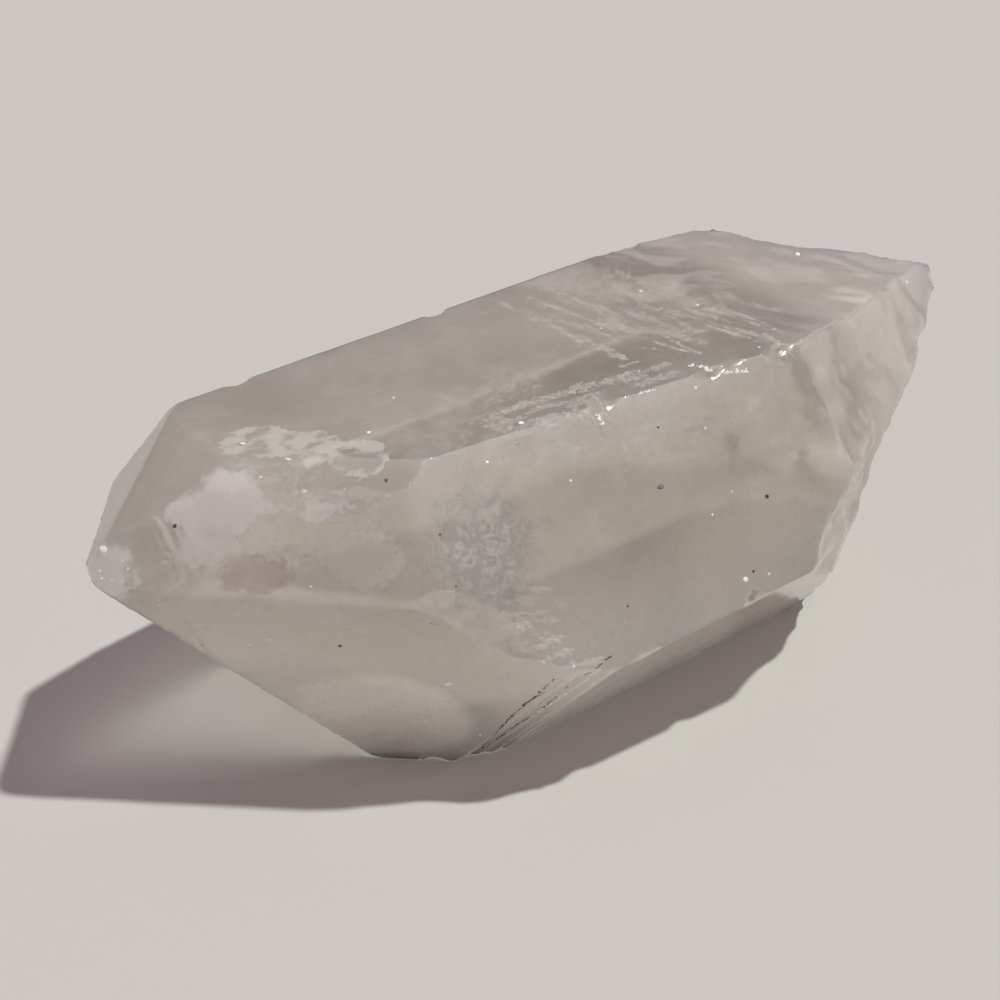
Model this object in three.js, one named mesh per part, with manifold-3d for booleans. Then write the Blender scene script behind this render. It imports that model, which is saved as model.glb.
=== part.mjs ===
// A clear quartz point: one natural crystal, broken off the rock that it grew on.
// Millimetres, +Z up. It lies on one prism face, with its point towards -X and its broken end towards +X,
// and the origin is on the surface below the middle of its box.

import * as THREE from 'three';
import { mergeVertices } from 'three/addons/utils/BufferGeometryUtils.js';
import Module from 'manifold-3d';

const wasm = await Module();
wasm.setup();

// The long axis of the crystal runs along X, this far above the face that it lies on.
const AXIS_HEIGHT = 13;

// The angle in degrees between the long axis and the normal of a prism face, and of a pyramid face.
const PRISM_ANGLE = 90;
const PYRAMID_ANGLE = 51.8;
const SIDES = 6;

// A face is out millimetres from the middle of the axis. A real crystal's faces lean a few degrees from
// their ideal places: turn is measured round the axis and tip away from the point.
// Face 0 is on top, and the next ones follow down the front (-Y) and up the back.
const PRISM_FACES = [
  { out: 13.5, turn: -2, tip: 0 },
  { out: 16.6, turn: 1, tip: -3.5 },
  { out: 16.7, turn: 9, tip: 1.3 },
  { out: AXIS_HEIGHT, turn: 0, tip: 0 },
  { out: 15.5, turn: 0, tip: -1 },
  { out: 15.7, turn: 0, tip: -3 },
];
const PYRAMID_FACES = [
  { out: 26.3, turn: -3.5, tip: 7 },
  { out: 24.4, turn: 2, tip: 0.5 },
  { out: 21.6, turn: -6, tip: -1.5 },
  { out: 23.8, turn: 2, tip: -7.5 },
  { out: 26.7, turn: -6, tip: -7.6 },
  { out: 30.8, turn: 0, tip: -2 },
];

// A narrow extra facet takes off the edge between the top and the upper back pyramid faces.
const CORNER_FACET = { out: 29.8, turn: 322, angle: 49.8 };

// The tip is knocked blunt: small breaks this far from the middle, each by its heading in plan and its rise.
const TIP_BREAKS = [
  { out: 38.1, heading: 184, rise: 3 },
  { out: 37.6, heading: 205, rise: 38 },
  { out: 37.3, heading: 172, rise: -28 },
];

// The broken end: rough faces, each by its distance from the middle of the axis, its heading in plan
// and its rise. Scallops are the shell-like hollows of a fracture: how wide and how deep they are.
const BREAKS = [
  { out: 15.2, heading: 13, rise: 83.4, scallop: 9, depth: 0.3, cell: 1.5, seed: 11 },
  { out: 22.2, heading: -65.5, rise: 31.5, scallop: 10, depth: 0.3, cell: 1.6, seed: 23 },
  { out: 26.8, heading: 39, rise: -15, scallop: 7, depth: 1.5, cell: 1.2, seed: 5 },
  { out: 24.5, heading: -50, rise: -22, scallop: 5, depth: 0.7, cell: 1.2, seed: 37 },
  { out: 23, heading: -62, rise: -8, scallop: 5, depth: 0.6, cell: 1.2, seed: 41 },
];

// Growth ledges that step down from a pyramid face to the prism face next to it: how far they go down
// from the one and how far they reach over the other.
const LEDGES = [
  { pyramid: 'pyramid2', prism: 'prism2', steps: 4, drop: 2, reach: 1.4 },
  { pyramid: 'pyramid4', prism: 'prism4', steps: 3, drop: 1.4, reach: 1.8 },
];

// Edges worn to a narrow rough strip, cut this deep at a place along the crystal.
const WORN_EDGES = [
  { faces: ['prism0', 'pyramid1'], x: -24, cut: 0.55, scallop: 3, depth: 0.35, cell: 0.9, seed: 61 },
  { faces: ['pyramid1', 'pyramid2'], x: -28, cut: 0.12, scallop: 4, depth: 0.06, cell: 1.4, seed: 67 },
  { faces: ['prism1', 'pyramid1'], x: -20, cut: 0.1, scallop: 4, depth: 0.06, cell: 1.4, seed: 71 },
  { faces: ['prism1', 'pyramid2'], x: -15, cut: 0.5, scallop: 3, depth: 0.35, cell: 0.9, seed: 73 },
];

// Nicks knocked out of the edge between two faces, at a place along the crystal.
const EDGE_NICKS = [
  { faces: ['prism0', 'prism1'], x: -3, size: 1.3 },
  { faces: ['prism0', 'prism1'], x: 6.5, size: 1.5 },
  { faces: ['prism0', 'prism1'], x: 9, size: 0.9 },
  { faces: ['prism0', 'prism1'], x: 13, size: 1.4 },
  { faces: ['prism0', 'prism5'], x: -21.5, size: 0.9 },
  { faces: ['prism0', 'prism5'], x: -2.5, size: 0.8 },
  { faces: ['prism1', 'prism2'], x: -6, size: 1.1 },
  { faces: ['prism1', 'prism2'], x: 5, size: 0.9 },
  { faces: ['prism3', 'pyramid2'], x: -17, size: 0.9 },
  { faces: ['prism2', 'prism3'], x: 8, size: 0.8 },
  { faces: ['prism4', 'prism5'], x: -8, size: 1.2 },
  { faces: ['prism4', 'prism5'], x: 10, size: 1.0 },
  { faces: ['pyramid4', 'prism4'], x: -23, size: 1.0 },
];

// How a nick is drawn out along the crystal and flattened, and how far out of the edge its middle lies,
// as shares of its size.
const NICK_SHAPE = [1.5, 0.9, 1];
const NICK_RISE = 0.6;

// How the hollows of a fracture differ: how closely they crowd, how much their floors vary as a share
// of their depth, how far they are drawn out, and how steeply they lean as a share of their own slope.
const CROWDING = 1.3;
const FLOOR_SPREAD = 0.8;
const LEAST_STRETCH = 1.2;
const MORE_STRETCH = 0.9;
const LEAN = 1.4;

// The finer hollows inside the coarse ones, as shares of the coarse ones' width and depth.
const FINE_WIDTH = 0.385;
const FINE_DEPTH = 0.25;

// A step of a row of ledges lies this share of the row's drop off its even place.
const UNEVENNESS = 0.12;

// The blank that is cut, the block that a flat cut is made with, and the smaller blocks that carry the
// relief of a fracture and of a worn edge.
const BLANK = 100;
const BLOCK = 140;
const BREAK_BLOCK = 58;
const STRIP_BLOCK = 34;

// Points closer together than this are one point.
const TOLERANCE = 1e-4;

const middle = new THREE.Vector3(0, 0, AXIS_HEIGHT);
const brokenEnd = new THREE.Vector3(26, -3, AXIS_HEIGHT);

function solidOf(geometry) {
  const bare = geometry.index ? geometry.toNonIndexed() : geometry.clone();
  bare.deleteAttribute('normal');
  bare.deleteAttribute('uv');
  const merged = mergeVertices(bare, TOLERANCE);
  const vertProperties = new Float32Array(merged.attributes.position.array);
  const triVerts = new Uint32Array(merged.index.array);
  return new wasm.Manifold(new wasm.Mesh({ numProp: 3, vertProperties, triVerts }));
}

function geometryOf(solid) {
  const mesh = solid.getMesh();
  const geometry = new THREE.BufferGeometry();
  geometry.setAttribute('position', new THREE.BufferAttribute(new Float32Array(mesh.vertProperties), 3));
  geometry.setIndex(new THREE.BufferAttribute(new Uint32Array(mesh.triVerts), 1));
  return geometry;
}

// A crystal face: its outward normal from the turn round the axis and the angle to the axis.
function crystalFace(out, turn, angle) {
  const round = THREE.MathUtils.degToRad(turn);
  const fromAxis = THREE.MathUtils.degToRad(angle);
  const across = Math.sin(fromAxis);
  const normal = new THREE.Vector3(-Math.cos(fromAxis), -across * Math.sin(round), across * Math.cos(round));
  return { normal, out };
}

// A break: its outward normal from the heading in plan, 0 towards +X, and the rise above level.
function breakFace(out, heading, rise) {
  const round = THREE.MathUtils.degToRad(heading);
  const up = THREE.MathUtils.degToRad(rise);
  const level = Math.cos(up);
  const normal = new THREE.Vector3(level * Math.cos(round), level * Math.sin(round), Math.sin(up));
  return { normal, out };
}

// Turns geometry whose near side is z = 0 so that this side lies on the face, with the rest outside it
// and its centre at the place on the face nearest to a point.
function placeOn(geometry, { normal, out }, near) {
  const turn = new THREE.Quaternion().setFromUnitVectors(new THREE.Vector3(0, 0, 1), normal);
  geometry.applyQuaternion(turn);
  const gap = out - near.clone().sub(middle).dot(normal);
  const at = near.clone().addScaledVector(normal, gap);
  return geometry.translate(at.x, at.y, at.z);
}

// All that is outside a flat face.
function beyond(face) {
  const block = new THREE.BoxGeometry(BLOCK, BLOCK, BLOCK).translate(0, 0, BLOCK / 2);
  return solidOf(placeOn(block, face, middle));
}

function seededRandom(seed) {
  let state = seed;
  return () => {
    state = (state * 16807) % 2147483647;
    return state / 2147483647;
  };
}

// The surface of a fracture: shell-like hollows that meet in sharp ridges. Each one is a shallow bowl,
// drawn out in a direction of its own, and the lowest bowl at a place is what the break left there.
function scallopedSurface(span, width, depth, seed) {
  const random = seededRandom(seed);
  const count = Math.round((span / width) ** 2 * CROWDING);
  const bowls = Array.from({ length: count }, () => ({
    u: (random() - 0.5) * span,
    v: (random() - 0.5) * span,
    floor: random() * depth * FLOOR_SPREAD,
    direction: random() * Math.PI,
    stretch: LEAST_STRETCH + random() * MORE_STRETCH,
    lean: (random() - 0.5) * LEAN * depth / width,
  }));
  return (u, v) => Math.min(...bowls.map((bowl) => {
    const along = (u - bowl.u) * Math.cos(bowl.direction) + (v - bowl.v) * Math.sin(bowl.direction);
    const aside = (v - bowl.v) * Math.cos(bowl.direction) - (u - bowl.u) * Math.sin(bowl.direction);
    const reach = ((along / bowl.stretch) ** 2 + aside ** 2) / (width / 2) ** 2;
    return bowl.floor + bowl.lean * along + depth * reach;
  })) - depth;
}

// All that is outside a rough face: a block whose near side carries coarse scallops and finer ones.
function beyondRough(face, { scallop, depth, cell, seed }, span, near) {
  const cells = Math.round(span / cell);
  const coarse = scallopedSurface(span, scallop, depth, seed);
  const fine = scallopedSurface(span, scallop * FINE_WIDTH, depth * FINE_DEPTH, seed + 100);
  const block = new THREE.BoxGeometry(span, span, span, cells, cells, 1).translate(0, 0, span / 2);
  const at = block.attributes.position;
  for (let i = 0; i < at.count; i += 1) {
    if (at.getZ(i) < TOLERANCE) {
      at.setZ(i, coarse(at.getX(i), at.getY(i)) + fine(at.getX(i), at.getY(i)));
    }
  }
  return solidOf(placeOn(block, face, near));
}

// The point on the edge between two faces at a place along the crystal.
function edgePoint(a, b, x) {
  const reachA = a.out + a.normal.dot(middle) - a.normal.x * x;
  const reachB = b.out + b.normal.dot(middle) - b.normal.x * x;
  const across = a.normal.y * b.normal.z - a.normal.z * b.normal.y;
  const y = (reachA * b.normal.z - reachB * a.normal.z) / across;
  const z = (a.normal.y * reachB - b.normal.y * reachA) / across;
  return new THREE.Vector3(x, y, z);
}

// A small shell-shaped nick on an edge.
function nick(a, b, { x, size }) {
  const at = edgePoint(a, b, x);
  const outwards = a.normal.clone().add(b.normal).normalize();
  const chip = new THREE.IcosahedronGeometry(size, 1);
  chip.scale(...NICK_SHAPE);
  chip.rotateZ(x);
  at.addScaledVector(outwards, size * NICK_RISE);
  chip.translate(at.x, at.y, at.z);
  return solidOf(chip);
}

function movedOut(face, distance) {
  return { normal: face.normal, out: face.out + distance };
}

// The face that takes off the edge between two others, cut this deep below the edge.
function edgeFace(a, b, at, cut) {
  const normal = a.normal.clone().add(b.normal).normalize();
  return { normal, out: at.clone().sub(middle).dot(normal) - cut };
}

// One step of a row of ledges: what lies both past the pyramid face and past the prism face, each
// moved in. The steps grow a little uneven.
function ledge(pyramid, prism, share, { drop, reach }) {
  const uneven = UNEVENNESS * Math.sin(share * 40);
  const pastPyramid = beyond(movedOut(pyramid, -drop * (share + uneven)));
  const pastPrism = beyond(movedOut(prism, -reach * (1 - share)));
  return pastPyramid.intersect(pastPrism);
}

function quartzPoint() {
  const faces = {};
  for (let i = 0; i < SIDES; i += 1) {
    const ideal = i * 360 / SIDES;
    const prism = PRISM_FACES[i];
    const pyramid = PYRAMID_FACES[i];
    faces[`prism${i}`] = crystalFace(prism.out, ideal + prism.turn, PRISM_ANGLE + prism.tip);
    faces[`pyramid${i}`] = crystalFace(pyramid.out, ideal + pyramid.turn, PYRAMID_ANGLE + pyramid.tip);
  }
  faces.corner = crystalFace(CORNER_FACET.out, CORNER_FACET.turn, CORNER_FACET.angle);

  let crystal = solidOf(new THREE.BoxGeometry(BLANK, BLANK, BLANK));
  for (const face of Object.values(faces)) {
    crystal = crystal.subtract(beyond(face));
  }
  for (const row of LEDGES) {
    for (let step = 0; step < row.steps; step += 1) {
      const share = (step + 0.5) / row.steps;
      crystal = crystal.subtract(ledge(faces[row.pyramid], faces[row.prism], share, row));
    }
  }
  for (const strip of WORN_EDGES) {
    const [a, b] = strip.faces.map((name) => faces[name]);
    const at = edgePoint(a, b, strip.x);
    crystal = crystal.subtract(beyondRough(edgeFace(a, b, at, strip.cut), strip, STRIP_BLOCK, at));
  }
  for (const { out, heading, rise } of TIP_BREAKS) {
    crystal = crystal.subtract(beyond(breakFace(out, heading, rise)));
  }
  for (const fracture of BREAKS) {
    const face = breakFace(fracture.out, fracture.heading, fracture.rise);
    crystal = crystal.subtract(beyond(movedOut(face, fracture.depth / 2)));
    crystal = crystal.subtract(beyondRough(face, fracture, BREAK_BLOCK, brokenEnd));
  }
  for (const place of EDGE_NICKS) {
    const [a, b] = place.faces.map((name) => faces[name]);
    crystal = crystal.subtract(nick(a, b, place));
  }

  const geometry = geometryOf(crystal);
  geometry.computeBoundingBox();
  const { min, max } = geometry.boundingBox;
  geometry.translate(-(min.x + max.x) / 2, -(min.y + max.y) / 2, -min.z);
  geometry.computeVertexNormals();
  return geometry;
}

const clearQuartz = new THREE.MeshStandardMaterial({ color: 0xb9b0a6, roughness: 0.12, metalness: 0 });
clearQuartz.name = 'clear quartz';

const crystal = new THREE.Mesh(quartzPoint(), clearQuartz);
crystal.name = 'quartz_point';

const group = new THREE.Group();
group.add(crystal);

export default group;
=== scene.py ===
from math import cos, radians, sin
from random import Random

import bmesh
import bpy
from mathutils import Matrix, Vector, noise
from mathutils.bvhtree import BVHTree


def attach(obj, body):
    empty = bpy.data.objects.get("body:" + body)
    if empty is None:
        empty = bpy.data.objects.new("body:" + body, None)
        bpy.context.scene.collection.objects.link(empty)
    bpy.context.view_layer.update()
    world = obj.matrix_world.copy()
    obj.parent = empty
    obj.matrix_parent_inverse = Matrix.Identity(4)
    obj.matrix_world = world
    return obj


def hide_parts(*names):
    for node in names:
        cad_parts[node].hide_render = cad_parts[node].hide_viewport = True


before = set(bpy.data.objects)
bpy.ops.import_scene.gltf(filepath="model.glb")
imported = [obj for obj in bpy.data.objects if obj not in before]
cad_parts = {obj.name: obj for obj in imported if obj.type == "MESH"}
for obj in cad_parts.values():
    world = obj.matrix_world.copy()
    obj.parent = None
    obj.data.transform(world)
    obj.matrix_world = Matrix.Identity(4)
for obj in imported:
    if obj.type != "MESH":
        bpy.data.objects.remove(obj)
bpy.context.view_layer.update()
scene = bpy.context.scene
MM = 0.001

# The table and the room. A plain pale tabletop, lit by one nearly white lamp above the crystal's broken
# end and by the dimmer, slightly purple light of the room. The camera looks down on it at 30 degrees, from
# two crystal lengths away.

FLOOR_HALF = 10000 * MM
FLOOR_COLOUR = (0.62, 0.60, 0.565, 1)
FLOOR_ROUGHNESS = 0.7
FLOOR_GLOSS = 0.2
ROOM_COLOUR = (1.0, 0.77, 0.88, 1)
ROOM_STRENGTH = 0.29
LAMP_COLOUR = (0.94, 1.0, 0.957)
LAMP_TOWARDS = Vector((0.372, -0.266, 1))
LAMP_STRENGTH = 2.52
LAMP_ANGLE = radians(2.5)


def put_in_scene(name, bm):
    """Makes an object of a finished mesh and puts it in the scene."""
    piece = bpy.data.objects.new(name, bpy.data.meshes.new(name))
    bm.to_mesh(piece.data)
    bm.free()
    scene.collection.objects.link(piece)
    return piece


bm = bmesh.new()
bmesh.ops.create_grid(bm, x_segments=1, y_segments=1, size=FLOOR_HALF)
floor = put_in_scene("tabletop", bm)
floor_material = bpy.data.materials.new("pale tabletop")
floor_material.use_nodes = True
floor_shader = floor_material.node_tree.nodes["Principled BSDF"]
floor_shader.inputs["Base Color"].default_value = FLOOR_COLOUR
floor_shader.inputs["Roughness"].default_value = FLOOR_ROUGHNESS
floor_shader.inputs["Specular IOR Level"].default_value = FLOOR_GLOSS
floor.data.materials.append(floor_material)

world = bpy.data.worlds.new("pale room")
scene.world = world
world.use_nodes = True
background = world.node_tree.nodes["Background"]
background.inputs["Color"].default_value = ROOM_COLOUR
background.inputs["Strength"].default_value = ROOM_STRENGTH

lamp_data = bpy.data.lights.new("lamp", "SUN")
lamp_data.color = LAMP_COLOUR
lamp_data.energy = LAMP_STRENGTH
lamp_data.angle = LAMP_ANGLE
lamp = bpy.data.objects.new("lamp", lamp_data)
lamp.rotation_mode = "QUATERNION"
lamp.rotation_quaternion = LAMP_TOWARDS.to_track_quat("Z", "Y")
scene.collection.objects.link(lamp)

CAMERA_AZIMUTH = radians(-37.2)
CAMERA_ELEVATION = radians(30.24)
CAMERA_DISTANCE = 162.8 * MM
CAMERA_LENS = 70.3
CAMERA_SENSOR = 36
CAMERA_NEAREST = 5 * MM
CAMERA_AIM = Vector((-1.51, 6.27, 10.0)) * MM

back = Vector((sin(CAMERA_AZIMUTH) * cos(CAMERA_ELEVATION),
               -cos(CAMERA_AZIMUTH) * cos(CAMERA_ELEVATION),
               sin(CAMERA_ELEVATION)))
camera_data = bpy.data.cameras.new("camera")
camera_data.lens = CAMERA_LENS
camera_data.sensor_width = CAMERA_SENSOR
camera_data.clip_start = CAMERA_NEAREST
camera = bpy.data.objects.new("camera", camera_data)
camera.location = CAMERA_AIM + back * CAMERA_DISTANCE
camera.rotation_mode = "QUATERNION"
camera.rotation_quaternion = (-back).to_track_quat("-Z", "Y")
scene.collection.objects.link(camera)
scene.camera = camera

scene.view_settings.view_transform = "Standard"
scene.cycles.transmission_bounces = 8
scene.cycles.transparent_max_bounces = 6
scene.cycles.max_bounces = 9
scene.cycles.use_denoising = True


# The crystal. Natural quartz that grew as one piece: six prism faces, six faces that close to a blunt
# point, and a rough end where it broke off its rock. Its faces are glossy, with faint growth relief, its
# edges are a little worn, and the quartz is milky in zones.

SAME_PLACE = 0.001 * MM
FLAT_ANGLE = radians(0.3)
SKIN_STEP = 0.72 * MM
SKIN_HALVINGS = 9
SMOOTH_TURNS = 2
SMOOTH_FACTOR = 0.5
RELIEF = 0.022 * MM
RELIEF_SCALE = 260
BASE_RELIEF = 0.10 * MM
BASE_SCALE = 900
BASE_START = 15 * MM
BASE_FULL = 21 * MM
REST_HEIGHT = 0.3 * MM
WEAR_GAIN = 5
CREVICE_GAIN = 9
CREVICE_START = 0.3
UNDERSIDE_START = 0.6
UNDERSIDE_SPAN = 0.12

bm = bmesh.new()
bm.from_mesh(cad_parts["quartz_point"].data)
bmesh.ops.remove_doubles(bm, verts=bm.verts, dist=SAME_PLACE)
skin = BVHTree.FromBMesh(bm)
bmesh.ops.dissolve_limit(bm, angle_limit=FLAT_ANGLE, verts=bm.verts, edges=bm.edges)
bmesh.ops.triangulate(bm, faces=bm.faces, quad_method="BEAUTY", ngon_method="BEAUTY")
for halving in range(SKIN_HALVINGS):
    long_edges = [edge for edge in bm.edges if edge.calc_length() > SKIN_STEP]
    bmesh.ops.subdivide_edges(bm, edges=long_edges, cuts=1)
    bmesh.ops.triangulate(bm, faces=[face for face in bm.faces if len(face.verts) > 3])
for turn in range(SMOOTH_TURNS):
    bmesh.ops.smooth_vert(bm, verts=bm.verts, factor=SMOOTH_FACTOR, use_axis_x=True, use_axis_y=True,
                          use_axis_z=True)
bm.normal_update()

# Where the skin bulges it is worn, where it dips it is a crevice, and some of it faces the table.
wear = bm.verts.layers.float.new("wear")
crevice = bm.verts.layers.float.new("crevice")
underside = bm.verts.layers.float.new("underside")
for vert in bm.verts:
    around = [edge.other_vert(vert).co - vert.co for edge in vert.link_edges]
    dip = sum(way.dot(vert.normal) for way in around) / sum(way.length for way in around)
    vert[wear] = min(max(-dip * WEAR_GAIN, 0), 1)
    vert[crevice] = min(max(dip * CREVICE_GAIN - CREVICE_START, 0), 1)
    vert[underside] = min(max((-vert.normal.z - UNDERSIDE_START) / UNDERSIDE_SPAN, 0), 1)

# The growth relief, and the coarser relief of the broken base, are sunk into the skin.
lowered = {}
for vert in bm.verts:
    depth = RELIEF * (1 + noise.noise(vert.co * RELIEF_SCALE))
    broken = min(max((vert.co.x - BASE_START) / (BASE_FULL - BASE_START), 0), 1)
    depth += BASE_RELIEF * broken * (0.5 + 0.5 * noise.noise(vert.co * BASE_SCALE))
    lowered[vert] = vert.normal * depth * (vert.co.z > REST_HEIGHT)
for vert, move in lowered.items():
    vert.co -= move
quartz = put_in_scene("quartz", bm)
quartz.data.shade_smooth()


class Level:
    """A number that a material's nodes give, for plain sums."""

    def __init__(self, finish, socket):
        self.finish = finish
        self.socket = socket

    def sum(self, operation, *values):
        return self.finish.level("ShaderNodeMath", {"operation": operation}, *values)

    def __add__(self, other):
        return self.sum("ADD", self, other)

    __radd__ = __add__

    def __sub__(self, other):
        return self.sum("SUBTRACT", self, other)

    def __rsub__(self, other):
        return self.sum("SUBTRACT", other, self)

    def __mul__(self, other):
        return self.sum("MULTIPLY", self, other)

    __rmul__ = __mul__

    def most(self, other):
        return self.sum("MAXIMUM", self, other)


class Finish:
    """A material and the nodes that are put in it."""

    def __init__(self, name):
        self.material = bpy.data.materials.new(name)
        self.material.use_nodes = True
        self.nodes = self.material.node_tree.nodes
        self.links = self.material.node_tree.links
        self.shader = self.nodes["Principled BSDF"]
        self.output = self.nodes["Material Output"]
        self.place = self.put("ShaderNodeTexCoord", {}, take="Object")

    def put(self, kind, settings, *values, take=0, **named):
        """Adds a node, sets its settings and then its sockets, by order or by name, and gives one output."""
        node = self.nodes.new(kind)
        for name, value in settings.items():
            setattr(node, name, value)
        for key, value in [*enumerate(values), *named.items()]:
            self.set(node.inputs[key if isinstance(key, int) else key.replace("_", " ")], value)
        return node.outputs[take]

    def set(self, socket, value):
        if isinstance(value, Level):
            value = value.socket
        if isinstance(value, bpy.types.NodeSocket):
            self.links.new(value, socket)
        else:
            socket.default_value = value

    def level(self, kind, settings, *values, take=0, **named):
        return Level(self, self.put(kind, settings, *values, take=take, **named))

    def noise(self, scale, detail=2, distortion=0):
        return self.level("ShaderNodeTexNoise", {}, Vector=self.place, Scale=scale, Detail=detail,
                          Distortion=distortion)

    def step(self, value, start, end):
        return self.level("ShaderNodeMapRange", {"interpolation_type": "SMOOTHSTEP"}, value, start, end, 0, 1)

    def vector(self, operation, *values, take=0, **named):
        return self.put("ShaderNodeVectorMath", {"operation": operation}, *values, take=take, **named)

    def stray(self, scale, reach):
        """The places of the surface, each pushed by up to half the reach, so that a zone's rim is ragged."""
        push = self.put("ShaderNodeTexNoise", {}, Vector=self.place, Scale=scale, Detail=3, take="Color")
        push = self.vector("SUBTRACT", push, (0.5, 0.5, 0.5))
        return self.vector("ADD", self.place, self.vector("SCALE", push, Scale=reach))

    def near(self, centre, reach, place=None, solid=0.4):
        """A zone round a centre, out to a reach on each axis, in mm, and full over the solid share of it."""
        away = self.vector("SUBTRACT", place or self.place, tuple(Vector(centre) * MM))
        away = self.vector("DIVIDE", away, tuple(Vector(reach) * MM))
        distance = Level(self, self.vector("LENGTH", away, take="Value"))
        return self.step(distance, 1, solid)

    def colours(self, share, first, second):
        """Mixes two colours. The Mix node has its colours on its sockets 6 and 7, and gives them on 2."""
        mix = self.nodes.new("ShaderNodeMix")
        mix.data_type = "RGBA"
        self.set(mix.inputs["Factor"], share)
        self.set(mix.inputs[6], first)
        self.set(mix.inputs[7], second)
        return mix.outputs[2]

    def shaders(self, share, first, second):
        return self.put("ShaderNodeMixShader", {}, share, first, second)


QUARTZ_IOR = 1.544
TINT_IN_DEPTH = (0.82, 0.79, 0.73, 1)
TINT_DENSITY = 20
LAMP_SHARE = 0.22
MILK_DEPTH = 24 * MM
# Painted light and shade: the milk's colour is darker at the top of the crystal and much lighter at its foot.
UPPER_MILK_PAINTED_SHADE = (0.655, 0.60, 0.52, 1)
LOWER_MILK_PAINTED_LIGHT = (1.0, 0.95, 0.85, 1)

milky = Finish("milky quartz")
ragged = milky.stray(420, 5 * MM)
finely_ragged = milky.stray(1300, 1.6 * MM)

worn = milky.level("ShaderNodeAttribute", {"attribute_name": "wear"}, take="Fac")
crevice_shade = milky.level("ShaderNodeAttribute", {"attribute_name": "crevice"}, take="Fac")
below = milky.level("ShaderNodeAttribute", {"attribute_name": "underside"}, take="Fac")
along = milky.level("ShaderNodeSeparateXYZ", {}, milky.place, take="X")
sideways = milky.level("ShaderNodeSeparateXYZ", {}, milky.place, take="Y")
height = milky.level("ShaderNodeSeparateXYZ", {}, milky.place, take="Z")
low = milky.step(height, 26 * MM, 4 * MM)
from_base = milky.step(along, 13 * MM, 22 * MM)
# Painted shade: the crevices are painted dark where shade falls in them, less so on the broken base.
crevice_shade = crevice_shade * (1 - 0.85 * from_base)
blotches = milky.noise(110, detail=4)
curls = milky.noise(650, detail=4, distortion=1.2)
mottles = milky.noise(1700, detail=3, distortion=0.8)

# The milky zones: frosted patches and chips near the tip, a grainy cloud, stained zones, a dark reddish band
# near the tip that is painted shade, the whiter foot and front, and a dark rim along the far top edge that is
# painted shade standing in for the dark line the glass shows along its outline.
patches = milky.level("ShaderNodeTexVoronoi", {}, Vector=finely_ragged, Scale=290, take="Color")
patch_zone = milky.near((-32, -2.5, 23), (6.5, 5, 4.2), place=ragged, solid=0.6)
patch_zone = patch_zone.most(0.8 * milky.near((-27, -6.5, 23.7), (4, 3, 1.6), place=finely_ragged))
frost = milky.step(patches, 0.44, 0.46) * patch_zone
bright_frost = milky.step(patches, 0.6, 0.62) * patch_zone
chip_grain = milky.step(milky.noise(700, detail=4), 0.3, 0.6)
chips = milky.near((-27.3, 0.4, 26.6), (3.0, 3.0, 1.2), place=finely_ragged, solid=0.85)
chips = chips.most(milky.near((-25, -2.4, 26.6), (2.8, 2.8, 1.2), place=finely_ragged, solid=0.85))
chips = chips.most(milky.near((-22.9, -5.6, 26.6), (2.4, 2.6, 1.2), place=finely_ragged, solid=0.85))
chips = chips * (0.35 + 0.65 * chip_grain)
cloud = milky.near((-17.5, -12.5, 20.5), (6, 5, 6), place=ragged, solid=0.3)
cloud_grain = milky.step(milky.noise(1000, detail=4, distortion=1.8), 0.35, 0.6)
brown = milky.near((-24.5, 4.5, 26.4), (5, 7, 2), place=ragged, solid=0.3)
tip = milky.near((-38.6, 1.8, 19.0), (3.6, 3.2, 3.6), place=ragged, solid=0.4)
foot = milky.near((-24, -8, 5), (13, 9, 8), solid=0.5)
# Painted shade: a dark reddish band above the lower edge of a face near the tip, standing in for the darkness
# that refraction shows there.
red_band_painted_shade = milky.near((-31.3, -4.8, 19.6), (3.6, 2.8, 1.5), place=finely_ragged, solid=0.7)
grey_band = milky.near((-25, -9.5, 20.8), (4.5, 3.6, 3.0), place=finely_ragged, solid=0.5)
inside_front = milky.near((5, -16, 15), (26, 10, 14), solid=0.1)
# Painted shade: a dark strip along the far top edge, standing in for the dark line that the glass shows along
# its outline.
rim = milky.step(sideways - 0.0617 * along, 11.15 * MM, 11.3 * MM)
rim = rim * milky.step(height, 25.8 * MM, 25.95 * MM)

# Painted light and shade: the milk runs from darker at the top to lighter towards the foot, standing in for
# light gathering low in the crystal.
colour = milky.colours(low, UPPER_MILK_PAINTED_SHADE, LOWER_MILK_PAINTED_LIGHT)
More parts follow.
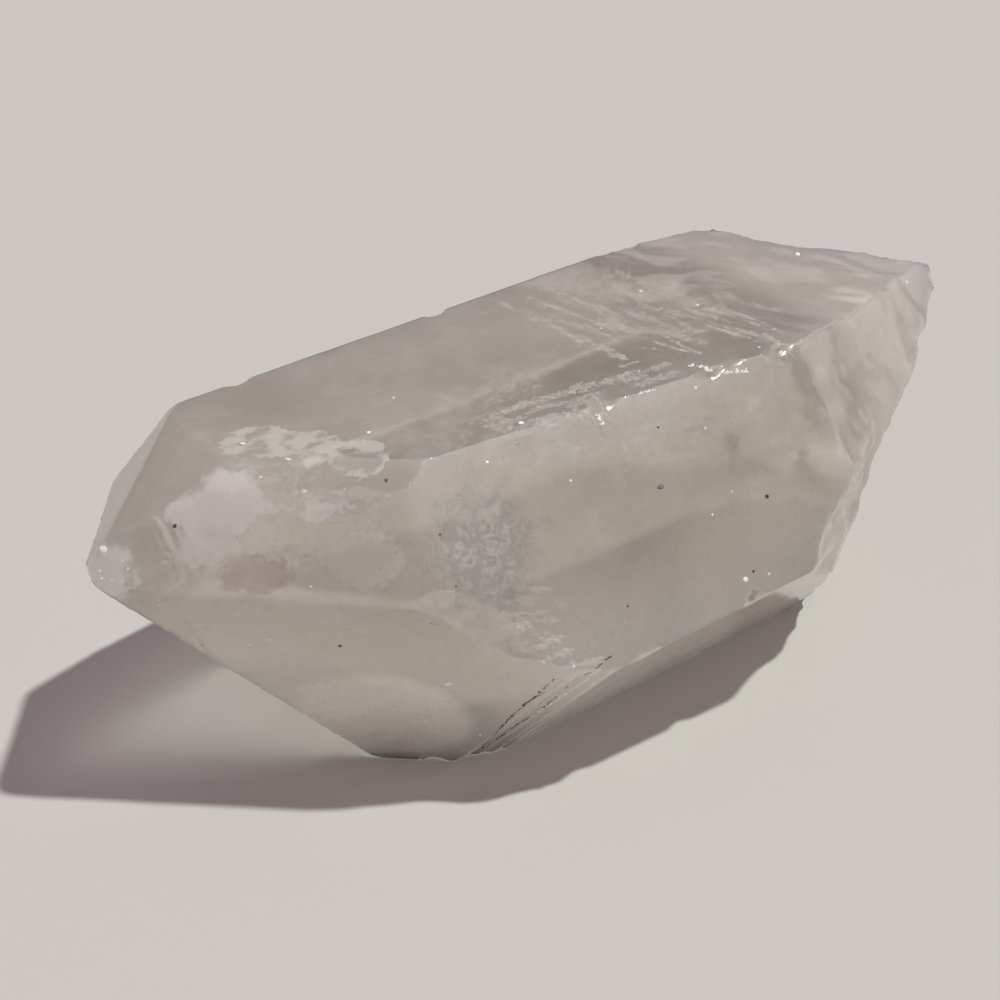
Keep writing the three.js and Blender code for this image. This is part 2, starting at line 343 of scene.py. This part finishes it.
# Each tint of the milk, from the broadest to the finest: how much of it shows, and its colour.
for share, tint in [
    (milky.step(blotches, 0.35, 0.7) * 0.35, (0.68, 0.62, 0.56, 1)),
    (milky.step(curls, 0.45, 0.7) * 0.25, (0.80, 0.77, 0.71, 1)),
    (milky.step(mottles, 0.5, 0.75) * 0.2, (0.50, 0.46, 0.41, 1)),
    (inside_front * 0.35, (0.60, 0.535, 0.45, 1)),
    (from_base * 0.8, (0.65, 0.59, 0.53, 1)),
    (tip * 0.7, (1.0, 0.95, 0.88, 1)),
    (brown * 0.6, (0.52, 0.43, 0.35, 1)),
    (grey_band * 0.4, (0.60, 0.585, 0.57, 1)),
    # painted shade: the dark reddish band near the tip
    (red_band_painted_shade * 0.8, (0.46, 0.37, 0.35, 1)),
    (cloud * (0.3 + 0.6 * cloud_grain), (0.42, 0.42, 0.41, 1)),
    (frost * 0.7, (0.72, 0.665, 0.65, 1)),
    (bright_frost * 0.5, (0.79, 0.73, 0.72, 1)),
    (chips * 0.7, (0.74, 0.73, 0.655, 1)),
    (worn * 0.25, (0.84, 0.80, 0.74, 1)),
    # painted shade in the crevices
    (crevice_shade, (0.16, 0.14, 0.13, 1)),
    # painted shade: the dark strip along the far top edge
    (rim * 0.8, (0.14, 0.12, 0.11, 1)),
]:
    colour = milky.colours(share, colour, tint)

relief = milky.put("ShaderNodeBump", {}, Strength=0.15, Distance=0.1 * MM, Height=milky.noise(900, detail=4))
glass = milky.shader
milky.set(glass.inputs["Transmission Weight"], 1)
milky.set(glass.inputs["IOR"], QUARTZ_IOR)
milky.set(glass.inputs["Base Color"], (1, 1, 1, 1))
milky.set(glass.inputs["Roughness"], 0.08 + 0.1 * milky.noise(60, detail=3))
milky.set(glass.inputs["Normal"], relief)
milk = milky.put("ShaderNodeBsdfPrincipled", {}, IOR=QUARTZ_IOR, Subsurface_Weight=1,
                 Subsurface_Radius=(1, 1, 1), Subsurface_Scale=MILK_DEPTH, Base_Color=colour,
                 Roughness=0.12 + 0.2 * worn, Normal=relief)

# How much of the surface is milk: a haze all over, at least this much in each zone, and little below.
milk_share = 0.36 + 0.12 * milky.step(blotches, 0.3, 0.7) + 0.2 * low
for zone in [foot * 0.88, tip * 0.75, patch_zone * 0.6, frost * 0.75, chips * 0.7, from_base * 0.62,
             inside_front * 0.6, grey_band * 0.6, red_band_painted_shade * 0.7, cloud * 0.7, worn * 0.62, crevice_shade, rim]:
    milk_share = milk_share.most(zone)
milk_share = milk_share * (1 - 0.85 * below)
surface = milky.shaders(milk_share, glass.outputs[0], milk)

# Some of the lamp's light goes through to the table.
clear = milky.put("ShaderNodeBsdfTransparent", {}, (LAMP_SHARE, LAMP_SHARE, LAMP_SHARE, 1))
lamp_ray = milky.put("ShaderNodeLightPath", {}, take="Is Shadow Ray")
milky.set(milky.output.inputs["Surface"], milky.shaders(lamp_ray, surface, clear))
milky.set(milky.output.inputs["Volume"],
          milky.put("ShaderNodeVolumeAbsorption", {}, TINT_IN_DEPTH, TINT_DENSITY))
quartz.data.materials.append(milky.material)
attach(quartz, "root")
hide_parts("quartz_point")


# The veils. Cracks that closed again while the crystal grew left sheets of tiny pockets of fluid inside
# it, which show as wispy white veils and streaks.

VEIL_CLEARANCE = 0.15 * MM
VEIL_TRIES = 12
VEIL_TILT = 0.25
STREAK_TILT = 0.3
STREAK_SPIN = 0.4

fleck = bpy.data.meshes.new("fleck")
bm = bmesh.new()
bmesh.ops.create_uvsphere(bm, u_segments=4, v_segments=2, radius=1)
bm.to_mesh(fleck)
bm.free()
draw = Random(7)


def scatter(spread):
    """A random step, of about this much on each axis."""
    return Vector([draw.gauss(0, spread) for axis in range(3)])


def depth_at(point):
    """How far inside the quartz a point lies, in metres, or less than zero outside it."""
    nearest, normal, face, distance = skin.find_nearest(point)
    return distance if (nearest - point).dot(normal) > 0 else -distance


def add_fleck(bm, shape, centre, along, across, length, width, thickness):
    """Adds one flat fleck: half its length along, half its width, and half its thickness across."""
    across = across.normalized()
    along = (along - across * along.dot(across)).normalized()
    lie = Matrix((along, across.cross(along), across)).transposed().to_4x4()
    place = Matrix.Translation(centre) @ lie @ Matrix.Diagonal((length, width, thickness, 1))
    shape.transform(place)
    bm.from_mesh(shape)
    shape.transform(place.inverted())


# Each veil: its centre, the way it runs, the way it widens, half its length and width, how many flecks,
# and the scale of its wisps, in mm.
VEILS = [
    ((7, 2, 24.0), (0.1, -1, 0.05), (0.9, 0.1, -0.45), 9, 5, 1500, 0.5),
    ((13, -2, 24.3), (0.1, -1, 0.05), (0.9, 0.1, -0.45), 8, 3, 900, 0.6),
    ((-4, -7, 24.5), (1, -0.1, -0.05), (0.1, -0.5, -0.8), 9, 3.5, 1300, 0.6),
    ((-27, -3.5, 22.5), (0.8, -0.5, -0.1), (-0.1, -0.4, -0.9), 7, 4, 1300, 0.5),
    ((-17, -11.5, 14), (0.9, -0.3, -0.1), (0.1, 0.3, -0.9), 6, 4, 1000, 0.7),
    ((12, -8, 17), (0.8, -0.4, 0.2), (0.3, 0.2, -0.9), 9, 6, 1000, 0.4),
    ((-12, -1, 16), (0.9, 0.3, 0.2), (-0.2, 0.8, -0.6), 12, 8, 1600, 0.3),
]
# Each streak: where it starts and ends on the skin, how wide it spreads, how deep it lies under the skin,
# and its flecks per mm, all in mm.
STREAKS = [
    ((1.6, 3.9, 26.4), (1.0, -0.9, 26.6), 0.35, 0.5, 22),
    ((1.6, 0.3, 26.5), (1.8, -5.0, 26.7), 0.45, 0.5, 24),
    ((6.4, 6.5, 26.3), (6.1, 0.1, 26.5), 0.4, 0.8, 16),
    ((10.4, 7.0, 26.3), (9.9, 2.5, 26.4), 0.25, 0.4, 18),
    ((-3.3, 0.2, 26.5), (-2.5, -1.4, 26.6), 0.15, 0.4, 20),
    ((-7.5, -6.4, 26.8), (-3.7, -7.5, 26.8), 0.3, 0.5, 18),
    ((-12.9, -0.3, 26.5), (-12.3, -3.5, 26.7), 0.35, 0.6, 14),
    ((9.9, 2.5, 26.4), (9.5, -5.0, 26.7), 0.35, 0.8, 10),
    ((1.2, 9.8, 26.2), (1.7, 2.7, 26.4), 0.5, 0.9, 12),
    ((12.8, 8.5, 26.2), (13.7, 2.0, 26.5), 0.4, 0.8, 12),
    ((-9.7, -10.4, 26.1), (-8.2, -11.5, 24.4), 0.4, 0.4, 22),
    ((-6.2, -10.2, 26.5), (-5.6, -11.1, 25.4), 0.2, 0.2, 40),
    ((-11.3, -9.2, 26.6), (-5.2, -10.5, 26.2), 0.3, 0.3, 16),
    ((-5.4, -10.7, 26.1), (-0.8, -11.0, 26.2), 0.3, 0.3, 12),
    ((-26.2, -6.9, 23.9), (-23.3, -8.9, 24.7), 0.5, 0.4, 20),
    ((-36.0, -0.2, 20.3), (-32.2, -3.4, 20.5), 0.6, 0.4, 16),
    ((-34.3, -2.3, 17.5), (-31.9, -2.6, 13.3), 0.12, 0.3, 7),
    ((-29.8, -5.4, 15.2), (-28.7, -7.2, 17.2), 0.2, 0.3, 16),
    ((-17.9, -15.3, 15.1), (-15.8, -16.0, 15.2), 0.35, 0.25, 30),
    ((-16.7, -16.1, 13.5), (-13.9, -17.0, 13.7), 0.4, 0.25, 34),
    ((-15.4, -17.3, 12.8), (-13.2, -17.5, 12.8), 0.3, 0.25, 30),
    ((-14.4, -17.8, 11.8), (-11.2, -18.4, 11.6), 0.3, 0.2, 30),
    ((-17.8, -15.2, 13.9), (-16.6, -15.9, 15.4), 0.3, 0.25, 26),
    ((-20.1, -10.4, 6.7), (-19.6, -9.8, 3.4), 0.5, 0.3, 16),
    ((-19.7, -9.7, 26.2), (-20.2, -10.4, 24.7), 0.10, 0.2, 30),
    ((-20.2, -10.4, 24.7), (-20.5, -11.7, 22.4), 0.08, 0.2, 26),
    ((-20.5, -11.7, 22.4), (-20.8, -13.0, 20.1), 0.07, 0.2, 26),
    ((-20.8, -13.0, 20.1), (-20.9, -13.7, 18.7), 0.07, 0.2, 26),
    ((-21.5, -13.4, 16.5), (-20.8, -13.6, 15.2), 0.07, 0.2, 34),
    ((-20.8, -13.6, 15.2), (-19.2, -14.7, 15.1), 0.07, 0.2, 34),
    ((-19.2, -14.7, 15.1), (-17.5, -15.2, 16.5), 0.09, 0.2, 30),
]

bm = bmesh.new()
for centre, along, wide, length, width, count, wisp in VEILS:
    along = Vector(along).normalized()
    across = along.cross(Vector(wide)).normalized()
    wide = across.cross(along)
    shift = Vector([draw.uniform(-50, 50) for axis in range(3)])
    placed = 0
    for attempt in range(count * VEIL_TRIES):
        if placed == count:
            break
        a, b = draw.uniform(-1, 1), draw.uniform(-1, 1)
        if a * a + b * b > 1:
            continue
        wisps = noise.noise(Vector((a * length * wisp * 0.5, b * width * wisp * 2, 0)) + shift)
        if wisps < draw.uniform(-0.1, 0.35):
            continue
        bend = noise.noise(Vector((a, b, 3)) * 1.3 + shift) * width * 0.25
        point = (Vector(centre) + along * a * length + wide * b * width + across * bend) * MM
        size = draw.uniform(0.05, 0.15) * MM
        if depth_at(point) < VEIL_CLEARANCE + size:
            continue
        tilt = scatter(VEIL_TILT)
        spin = scatter(1)
        add_fleck(bm, fleck, point, spin, across + tilt, size * draw.uniform(1, 2.2), size, size * 0.2)
        placed += 1
for start, end, spread, depth, density in STREAKS:
    start, end = Vector(start) * MM, Vector(end) * MM
    along = end - start
    for index in range(round(along.length / MM * density)):
        point = start + along * draw.uniform(-0.05, 1.05)
        point += scatter(spread * 0.5 * MM)
        nearest, normal, face, distance = skin.find_nearest(point)
        size = draw.uniform(0.04, 0.04 + 0.25 * min(spread, 0.5)) * MM
        point = nearest - normal * (depth * draw.uniform(0.5, 1.5) * MM + size * 0.3)
        if depth_at(point) < size * 0.4:
            continue
        tilt = scatter(STREAK_TILT)
        spin = scatter(STREAK_SPIN)
        add_fleck(bm, fleck, point, along.normalized() + spin, normal + tilt, size * draw.uniform(1.2, 3),
                  size, size * 0.25)
veils = put_in_scene("veils", bm)
pale = Finish("pale inclusions")
pale.set(pale.shader.inputs["Base Color"],
         pale.colours(pale.noise(300), (0.95, 0.92, 0.94, 1), (0.92, 0.93, 0.88, 1)))
pale.set(pale.shader.inputs["Roughness"], 0.3 + 0.2 * pale.noise(500))
veils.data.materials.append(pale.material)
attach(veils, "root")


# The glints. Small chips and facets that knocks broke into the quartz's own skin, painted near white as
# highlights that stand in for the lamp's reflections in them: a cluster at the tip, a few on the ridges and
# ledges, and some scattered over the faces.

# Each glint: its place on the skin and its half size, in mm.
GLINTS = [
    (-38.8, 2.6, 20.9, 0.24), (-38.0, 1.5, 20.2, 0.12), (-39.4, 2.3, 19.5, 0.09), (-37.8, 1.1, 19.7, 0.11),
    (-38.9, 1.6, 18.9, 0.09), (-38.4, 1.1, 18.9, 0.08), (-39.4, 2.1, 19.0, 0.08), (-36.3, -0.1, 16.7, 0.11),
    (-30.1, -4.3, 13.5, 0.16), (-31.1, -3.1, 12.8, 0.11), (-28.7, -3.6, 9.1, 0.11), (-28.4, -7.6, 19.0, 0.11),
    (-28.2, 0.9, 26.5, 0.18), (-27.0, -3.2, 26.6, 0.21), (-29.2, -3.0, 25.9, 0.14), (-27.2, -5.4, 25.1, 0.19),
    (-25.0, -7.1, 25.4, 0.12), (-20.4, -3.3, 26.7, 0.16), (-15.9, 0.2, 26.5, 0.15), (-11.2, -9.0, 26.8, 0.17),
    (-19.9, -11.8, 9.5, 0.29), (-15.5, -17.2, 12.6, 0.18), (-17.6, -14.9, 11.6, 0.13),
    (-15.2, -10.3, 25.6, 0.11), (-9.2, -12.2, 22.9, 0.13), (-20.1, -10.4, 6.7, 0.12),
    (-19.9, -11.0, 7.8, 0.10), (12.7, -1.2, 26.6, 0.16), (3.4, -11.3, 26.1, 0.15), (5.4, -11.5, 26.0, 0.13),
    (3.2, -12.8, 23.4, 0.13), (10.9, 0.3, 26.5, 0.11), (3.8, 0.2, 26.5, 0.14), (11.1, 3.9, 26.4, 0.16),
    (30.1, 4.8, 24.5, 0.19), (12.0, -11.4, 26.5, 0.17), (10.8, -10.3, 26.9, 0.14), (34.8, -3.8, 23.6, 0.17),
    (1.6, -15.8, 17.9, 0.10), (3.9, -15.4, 18.9, 0.10), (2.8, -18.5, 13.1, 0.19), (5.0, -18.8, 12.9, 0.14),
    (-13.4, -18.1, 11.8, 0.14), (-25.1, -4.3, 3.1, 0.12), (-17.1, -11.8, 3.6, 0.12),
    (-18.2, -11.5, 5.3, 0.10), (-20.3, -9.3, 4.8, 0.10),
]
# Each bar: a long narrow glint from one place on the skin to another, and its half width, in mm.
BARS = [
    ((4.4, -9.3, 26.9), (5.4, -10.4, 26.8), 0.2), ((5.8, -11.1, 26.5), (8.3, -11.7, 26.1), 0.14),
    ((-5.6, -10.4, 26.5), (-5.2, -11.0, 25.5), 0.15), ((-13.8, -14.4, 5.8), (-12.4, -16.8, 8.5), 0.12),
    ((-1.5, -10.6, 26.9), (-0.1, -10.7, 26.8), 0.1),
]
BAR_DENSITY = 1.6
ROUND_SIZE = 0.15
GLINT_RISE = 0.02
SPECK_TILT = 0.2

round_fleck = bpy.data.meshes.new("round fleck")
bm = bmesh.new()
bmesh.ops.create_icosphere(bm, subdivisions=2, radius=1)
bm.to_mesh(round_fleck)
bm.free()


def on_skin(point, rise):
    """The place on the quartz nearest to a point in mm, raised by rise, and the way that the skin faces."""
    nearest, normal, face, distance = skin.find_nearest(Vector(point) * MM)
    return nearest + normal * rise * MM, normal


def add_specks(bm, specks, rise):
    """Adds flat specks on the skin, round where they are large enough to show their outline."""
    for x, y, z, size in specks:
        place, normal = on_skin((x, y, z), size * rise)
        lean = normal + scatter(SPECK_TILT)
        spin = scatter(1)
        shape = round_fleck if size > ROUND_SIZE else fleck
        add_fleck(bm, shape, place, spin, lean, size * draw.uniform(0.9, 1.4) * MM, size * MM,
                  size * 0.2 * MM)


bm = bmesh.new()
add_specks(bm, GLINTS, GLINT_RISE)
for start, end, width in BARS:
    start, end = Vector(start), Vector(end)
    for index in range(round((end - start).length / width * BAR_DENSITY)):
        point = start.lerp(end, draw.uniform(0, 1)) + scatter(width * 0.5)
        add_specks(bm, [(*point, width * draw.uniform(0.4, 0.9))], 0)
glints = put_in_scene("glints", bm)
bright = Finish("chips painted as glints")
# Painted highlights: the chips are painted near white, standing in for the lamp's reflections in them.
bright.set(bright.shader.inputs["Base Color"],
           bright.colours(bright.noise(400), (1.0, 0.99, 0.96, 1), (0.97, 1.0, 0.97, 1)))
bright.set(bright.shader.inputs["Roughness"], 0.2 + 0.1 * bright.noise(500))
glints.data.materials.append(bright.material)
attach(glints, "root")


# The dark grains. Specks of a dark mineral that the quartz grew round and that show in its skin, and the
# dark broken lines along the growth ledges at the foot.

# Each grain: its place on the skin and its half size, in mm.
GRAINS = [
    (-34.6, -0.2, 22.6, 0.17), (-26.3, -7.6, 13.2, 0.16), (-33.6, -0.7, 12.5, 0.10),
    (-22.5, -8.5, 25.8, 0.14), (-2.1, -13.9, 20.7, 0.23), (-7.7, -17.2, 14.2, 0.14),
    (-20.4, -13.6, 19.0, 0.10), (6.8, -16.2, 17.8, 0.18), (-0.8, -12.0, 24.4, 0.12),
    (3.7, -18.4, 13.4, 0.14), (-15.8, -14.0, 6.1, 0.15), (-12.8, -17.5, 10.0, 0.12),
    (-20.4, -11.8, 22.3, 0.12),
]
# Each dark line: the places on the skin that it runs through, in mm.
LEDGE_LINES = [
    ((-15.9, -10.4, 0.9), (-16.2, -12.6, 3.9), (-15.8, -14.0, 6.1), (-15.1, -15.6, 8.3),
     (-14.5, -17.3, 10.8)),
    ((-15.3, -11.3, 2.0), (-14.6, -12.9, 4.0), (-13.7, -14.5, 5.8), (-12.8, -16.8, 9.1)),
    ((-16.0, -13.5, 5.3), (-15.4, -15.1, 7.7), (-14.5, -16.6, 9.4)),
    ((-12.8, -17.5, 10.0), (-11.3, -18.5, 11.3), (-10.1, -18.4, 11.6)),
]
LEDGE_LINE_WIDTH = 0.065
LEDGE_LINE_DENSITY = 5
LEDGE_LINE_RISE = -0.02


def add_line(bm, places, width, density):
    """Adds a broken line of small specks from place to place on the skin, all in mm."""
    for start, end in zip(places, places[1:]):
        start, end = Vector(start), Vector(end)
        for index in range(round((end - start).length * density)):
            point = start.lerp(end, draw.uniform(0, 1)) + scatter(width * 0.4)
            place, normal = on_skin(point, LEDGE_LINE_RISE)
            add_fleck(bm, round_fleck, place, end - start, normal, width * draw.uniform(1, 3) * MM,
                      width * draw.uniform(0.5, 1) * MM, width * 0.3 * MM)


bm = bmesh.new()
add_specks(bm, GRAINS, 0)
for places in LEDGE_LINES:
    add_line(bm, places, LEDGE_LINE_WIDTH, LEDGE_LINE_DENSITY)
grains = put_in_scene("dark_grains", bm)
dark = Finish("dark mineral")
dark.set(dark.shader.inputs["Base Color"],
         dark.colours(dark.noise(2000), (0.14, 0.085, 0.07, 1), (0.07, 0.05, 0.045, 1)))
dark.set(dark.shader.inputs["Roughness"], 0.4 + 0.2 * dark.noise(900))
grains.data.materials.append(dark.material)
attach(grains, "root")
